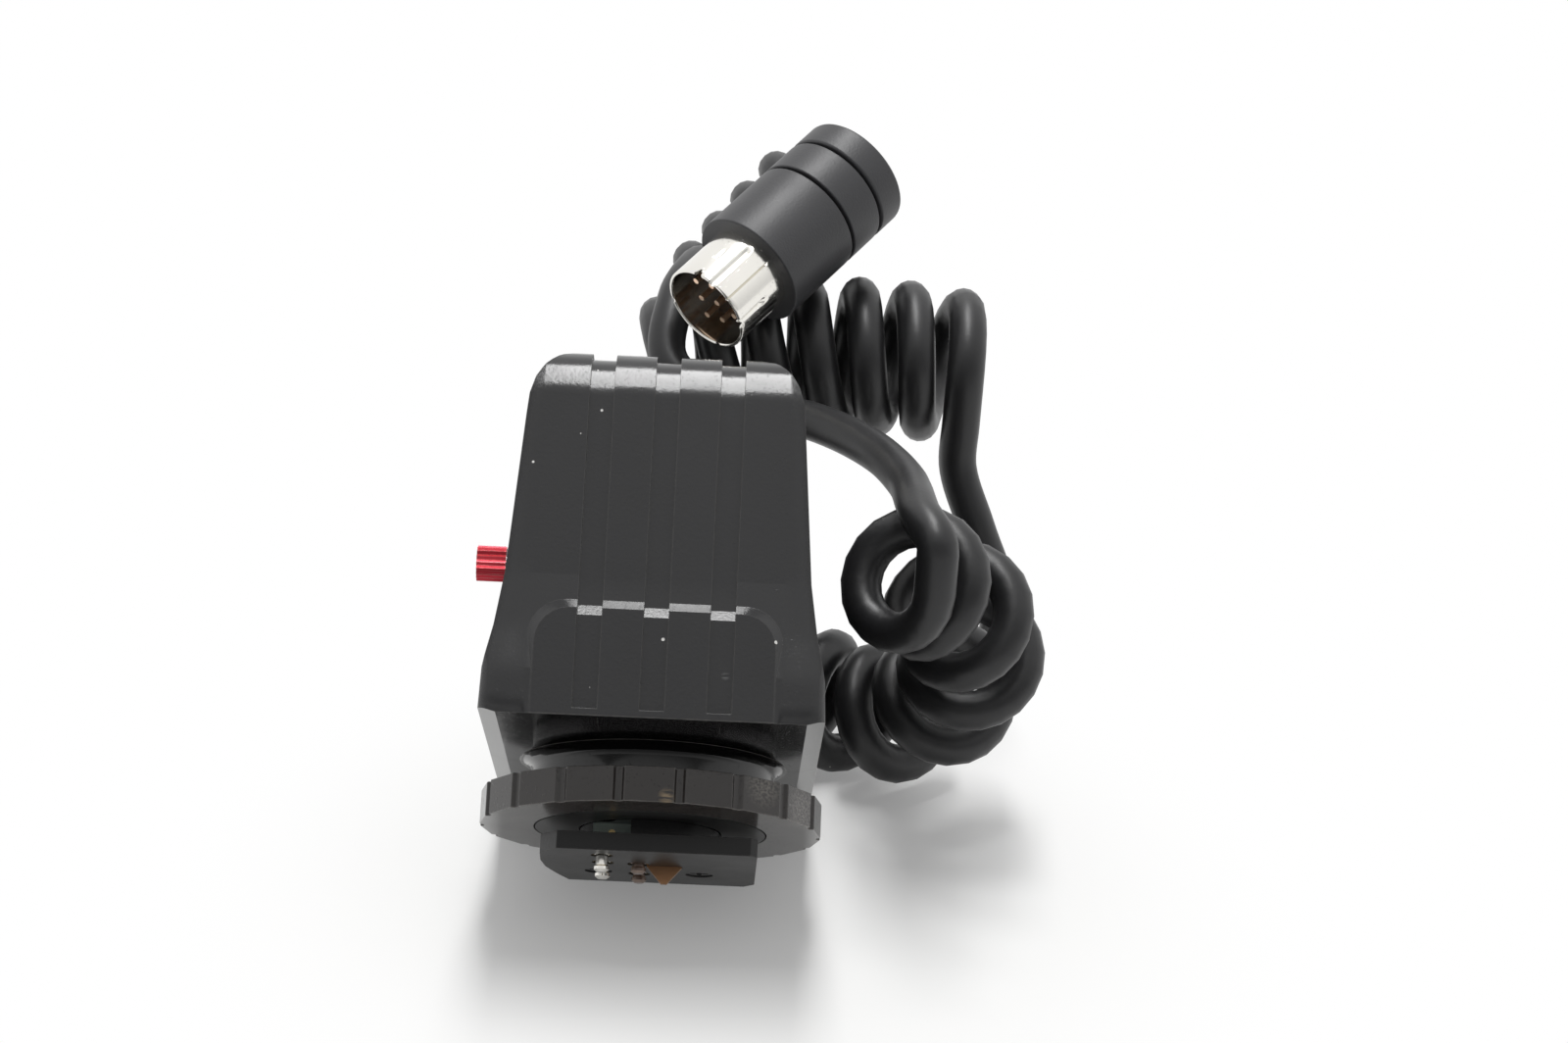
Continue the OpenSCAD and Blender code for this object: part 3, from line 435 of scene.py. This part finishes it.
# ---------------------------------------------------------------- hard pieces

SOFT_EDGE = math.radians(16)   # edges that turn more than this are rounded off
ROUNDED = math.radians(36)     # faces that turn less than this shade as one
FLAT_AREA = 10 * MM**2         # wider faces shade flat
SAME_PLANE = math.radians(0.4)
SAME_PLACE = 0.002 * MM
LOOKS_DOWN = -0.5              # against the way up, for a face that looks down the housing
HOUSING_UP = Vector((0, math.sin(LEAN), math.cos(LEAN)))


def dressed(node, material, bevel, segments=2, body="housing", below=None):
    """A copy of a CAD solid with rounded edges and smooth shading, in the solid's place.

    Its faces that look down the housing have the material below, where one is named.
    """
    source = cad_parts[node]
    mesh = bmesh.new()
    mesh.from_mesh(source.data)
    bmesh.ops.remove_doubles(mesh, verts=mesh.verts, dist=SAME_PLACE)
    bmesh.ops.dissolve_limit(mesh, angle_limit=SAME_PLANE, verts=mesh.verts, edges=mesh.edges)
    made = piece(node + "_look", mesh, smooth=True, material=material)
    edges = made.modifiers.new("edges", "BEVEL")
    edges.width, edges.segments = bevel, segments
    edges.limit_method, edges.angle_limit = "ANGLE", SOFT_EDGE
    edges.use_clamp_overlap = True
    edges.miter_outer = "MITER_ARC"
    bake_modifiers(made)
    shade(made.data)
    if below:
        made.data.materials.append(below)
        for face in made.data.polygons:
            face.material_index = 1 if face.normal.dot(HOUSING_UP) < LOOKS_DOWN else 0
    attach(made, body)
    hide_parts(node)
    return made


def shade(data):
    """Wide faces shade flat, and what lies between them rounds smoothly into them."""
    around = [[] for _ in data.vertices]
    for face in data.polygons:
        for v in face.vertices:
            around[v].append(face)
    near = math.cos(ROUNDED)
    normals = [None] * len(data.loops)
    for face in data.polygons:
        for at, v in zip(face.loop_indices, face.vertices):
            total = face.normal.copy()
            if face.area < FLAT_AREA:
                total = sum((f.area * f.normal for f in around[v] if f.normal.dot(face.normal) > near),
                            Vector())
            normals[at] = total.normalized() if total.length > 0 else face.normal
    data.normals_split_custom_set(normals)


def bake_modifiers(made):
    bpy.context.view_layer.update()
    shaped = made.evaluated_get(bpy.context.evaluated_depsgraph_get())
    data = bpy.data.meshes.new_from_object(shaped)
    made.modifiers.clear()
    made.data = data


dressed("front_shell", CASE, bevel=0.16 * MM, segments=3, below=GLOSS)
dressed("rear_shell", CASE, bevel=0.16 * MM, segments=3, below=GLOSS)
dressed("lock_wheel", WHEEL, bevel=0.1 * MM, body="lock_wheel")
dressed("collar", GLOSS, bevel=0.1 * MM)
dressed("shoe_foot", SATIN, bevel=0.1 * MM)

SHELL_R, SHELL_WALL = 4.475 * MM, 0.35 * MM
SHELL_STEPS = 240
SHELL_ROWS = (0, 0.02, 0.06, 0.12, 0.18, 0.5, 1.2, 2, 2.8, 3.2, 3.5, 3.8, 4.2, 4.8, 5.4, 5.7, 6, 6.4)
RIM_R = 0.18           # the radius of the rim's rounding in mm
LEAST_WALL = 0.05 * MM
GROOVE_FADE = 0.4      # how far from its end a groove starts to fade, in mm
GROOVE_WALLS = 1.6     # how steep the sides of a groove and of a notch are
NOTCH_WALLS = 1.8
SHELL_SHARP = math.radians(50)
WELD = 0.0005 * MM
# a groove's angle from the top, half its width in degrees, its depth, start and end in mm
SHELL_GROOVES = ((30, 5, 0.3, 0, 5.6), (57, 1.1, 0.24, 0, 5.9), (92, 4, 0.3, 0, 3.7), (8, 2.4, 0.1, 2.9, 4.1),
                 (178, 5, 0.3, 0, 5.6), (268, 5, 0.3, 0, 5.6))
# a notch's angle in the rim, half its width in degrees and its depth in mm
SHELL_NOTCHES = ((7, 6, 0.7), (98, 5, 0.5))


def bump_of(degrees, at, half, steep):
    """1 at the angle, falling to 0 at half to either side, with steep sides and a flat top."""
    off = (degrees - at + 180) % 360 - 180
    if abs(off) >= half:
        return 0.0
    return min(1.0, steep * (0.5 + 0.5 * math.cos(math.pi * off / half)))


def slotted_shell():
    """The plug's sheet metal shell, with pressed grooves and two notches in its rim."""
    side = PLUG_DIR.cross(Vector((0, 0, 1))).normalized()
    top = side.cross(PLUG_DIR)
    mesh = bmesh.new()
    rings = []
    for z, outer in [(z, True) for z in SHELL_ROWS] + [(z, False) for z in reversed(SHELL_ROWS)]:
        lip = RIM_R - math.sqrt(max(0.0, RIM_R ** 2 - max(0.0, RIM_R - z) ** 2))
        ring = []
        for k in range(SHELL_STEPS):
            degrees = 360 * k / SHELL_STEPS
            dip = 0.0
            for at, half, depth, start, end in SHELL_GROOVES:
                if start <= z <= end:
                    fade = min(1.0, (end - z) / GROOVE_FADE)
                    dip = max(dip, depth * bump_of(degrees, at, half, GROOVE_WALLS) * fade)
            back = sum(depth * bump_of(degrees, at, half, NOTCH_WALLS) for at, half, depth in SHELL_NOTCHES)
            radius = SHELL_R - dip * MM
            radius -= lip * MM if outer else max(LEAST_WALL, SHELL_WALL - lip * MM - dip * MM)
            a = math.radians(degrees)
            way = math.cos(a) * top + math.sin(a) * side
            ring.append(mesh.verts.new(PLUG_FRONT + max(z, back) * MM * PLUG_DIR + radius * way))
        rings.append(ring)
    for low, high in zip(rings, rings[1:] + rings[:1]):
        for k in range(SHELL_STEPS):
            after = (k + 1) % SHELL_STEPS
            mesh.faces.new((low[k], low[after], high[after], high[k]))
    bmesh.ops.remove_doubles(mesh, verts=mesh.verts, dist=WELD)
    made = piece("plug_shell_look", mesh, smooth=True, material=NICKEL)
    made.data.set_sharp_from_angle(angle=SHELL_SHARP)
    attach(made, "housing")
    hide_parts("plug_shell")
    return made


plug_shell = slotted_shell()
plug_body = dressed("plug_body", BODY_RUBBER, bevel=0.3 * MM, segments=3)
plug_middle = dressed("plug_middle", BODY_RUBBER, bevel=0.2 * MM, segments=3)
plug_cap = dressed("plug_cap", BODY_RUBBER, bevel=0.3 * MM, segments=3)

# solids that show as they are, with a material
PLAIN = {"foot_screws": DARK_STEEL, "shoe_neck": PLAIN_GLOSS, "neck_insert": GREY, "neck_rivet": BRASS,
         "contact_barrels": BRASS, "contact_pin_front": NICKEL, "contact_pin_second": NICKEL,
         "contact_pin_short": DULL, "contact_pin_rear": DULL, "centre_contact": BRONZE,
         "pressure_ring": PLAIN_SATIN, "case_screws": STEEL, "label_plate": PLAIN_GLOSS,
         "circuit_board": BOARD, "board_parts": PLAIN_SATIN, "selector_switch": GREY,
         "selector_stem": STEEL, "selector_knob": RED, "cord_gland": RUBBER, "plug_insert": INSERT,
         "plug_pins": COPPER}
for node, material in PLAIN.items():
    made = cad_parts[node]
    made.data.materials.clear()
    made.data.materials.append(material)

# ---------------------------------------------------------------- stage and light

FLOOR_SIZE = 4.0
FLOOR_COLOUR = (0.94, 0.94, 0.93)
SHADOW_AT = (0.008, -0.006, 0.0)  # the middle of the floor that keeps the shadow
SHADOW_REACH = (0.022, 0.054)     # how far from there the floor starts to turn white, and where it is white
NEAR_WHITE = 0.2                  # the share of white in that middle
ROOM_WAY = (0, 1, 0.8)            # towards the bright side of the room
ROOM_TURN = (-0.5, 0.1)           # along that way, where the dark side ends and where it is bright
ROOM_DARK = 0.25
FILL = 0.45
WHITE = (1, 1, 1, 1)


def make_floor():
    """A pale floor. Seen directly or in a reflection, it turns to plain white away from the object."""
    mesh = bmesh.new()
    half = FLOOR_SIZE / 2
    corners = ((-half, -half, 0), (half, -half, 0), (half, half, 0), (-half, half, 0))
    mesh.faces.new([mesh.verts.new(v) for v in corners])
    floor = piece("floor", mesh)
    material = bpy.data.materials.new("floor")
    material.use_nodes = True
    tree = material.node_tree
    link = tree.links.new
    shader = tree.nodes["Principled BSDF"]
    shader.inputs["Base Color"].default_value = (*FLOOR_COLOUR, 1)
    shader.inputs["Roughness"].default_value = 0.7
    shader.inputs["Specular IOR Level"].default_value = 0.2
    rays = tree.nodes.new("ShaderNodeLightPath")
    seen = combined(tree, "MAXIMUM", rays.outputs["Is Camera Ray"], rays.outputs["Is Glossy Ray"])
    away = distance_to(tree, tree.nodes.new("ShaderNodeTexCoord").outputs["Object"], SHADOW_AT)
    far = ranged(tree, away, *SHADOW_REACH, NEAR_WHITE, interpolation_type="SMOOTHSTEP")
    white = node_of(tree, "ShaderNodeEmission", Color=WHITE, Strength=1.0)
    mix = tree.nodes.new("ShaderNodeMixShader")
    link(combined(tree, "MULTIPLY", seen, far), mix.inputs["Fac"])
    link(shader.outputs["BSDF"], mix.inputs[1])
    link(white.outputs["Emission"], mix.inputs[2])
    link(mix.outputs["Shader"], tree.nodes["Material Output"].inputs["Surface"])
    floor.data.materials.append(material)


def make_world():
    """A white background, and a dimmer even light. Reflections show less light low at the front."""
    world = bpy.data.worlds.new("studio")
    bpy.context.scene.world = world
    world.use_nodes = True
    tree = world.node_tree
    link = tree.links.new
    tree.nodes.clear()
    rays = tree.nodes.new("ShaderNodeLightPath")
    seen = node_of(tree, "ShaderNodeBackground", Color=WHITE)
    fill = node_of(tree, "ShaderNodeBackground", Color=WHITE, Strength=FILL)
    way = node_of(tree, "ShaderNodeVectorMath", operation="DOT_PRODUCT")
    way.inputs[1].default_value = ROOM_WAY
    link(tree.nodes.new("ShaderNodeTexCoord").outputs["Generated"], way.inputs[0])
    room = ranged(tree, way.outputs["Value"], *ROOM_TURN, ROOM_DARK)
    link(combined(tree, "MAXIMUM", rays.outputs["Is Camera Ray"], room), seen.inputs["Strength"])
    either = combined(tree, "MAXIMUM", rays.outputs["Is Camera Ray"], rays.outputs["Is Glossy Ray"])
    any_ray = combined(tree, "MAXIMUM", either, rays.outputs["Is Transmission Ray"])
    mix = tree.nodes.new("ShaderNodeMixShader")
    link(any_ray, mix.inputs["Fac"])
    link(fill.outputs["Background"], mix.inputs[1])
    link(seen.outputs["Background"], mix.inputs[2])
    link(mix.outputs["Shader"], tree.nodes.new("ShaderNodeOutputWorld").inputs["Surface"])


def area_light(name, place, towards, size, power):
    data = bpy.data.lights.new(name, "AREA")
    data.shape, data.size, data.size_y, data.energy = "RECTANGLE", size[0], size[1], power
    light = bpy.data.objects.new(name, data)
    light.location = place
    light.rotation_euler = (Vector(towards) - Vector(place)).to_track_quat("-Z", "Y").to_euler()
    bpy.context.scene.collection.objects.link(light)


make_floor()
make_world()
area_light("overhead", (0.0, 0.07, 0.55), (0.0, 0.0, 0.02), (0.1, 0.46), 2.2)

bpy.context.scene.view_settings.view_transform = "Standard"
